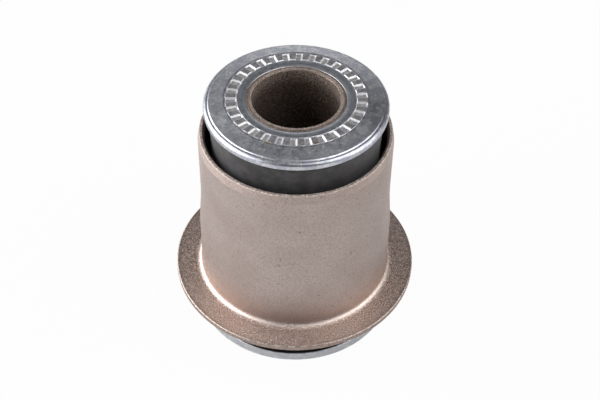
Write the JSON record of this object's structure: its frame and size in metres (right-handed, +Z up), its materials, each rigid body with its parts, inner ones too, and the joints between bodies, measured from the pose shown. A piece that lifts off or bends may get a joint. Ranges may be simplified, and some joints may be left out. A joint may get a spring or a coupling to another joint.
{
  "type": "rubber metal bush",
  "caption": "Rubber spring between an inner steel tube and a flanged outer sleeve, with a serrated end washer on each end of the tube. Carries a pivot bolt in a suspension arm.",
  "frame": {"origin": "centre of the plane that the lower washer's teeth stand on, on the bore's axis", "axes": "+Z runs up the bore, from the flanged end to the plain end; the bush is round about it"},
  "size_m": [0.0608, 0.0608, 0.0647],
  "materials": {
    "tube_steel": "matt plated steel, brownish",
    "sleeve_steel": "matt zinc plated and passivated steel, champagne coloured",
    "rubber": "matt natural rubber, lightly dusty",
    "washer_steel": "bright zinc plated steel, lightly scratched"
  },
  "bodies": {
    "root": {"inner_tube": "tube_steel", "outer_sleeve": "sleeve_steel", "rubber_body": "rubber", "upper_washer": "washer_steel", "lower_washer": "washer_steel"}
  },
  "joints": []
}
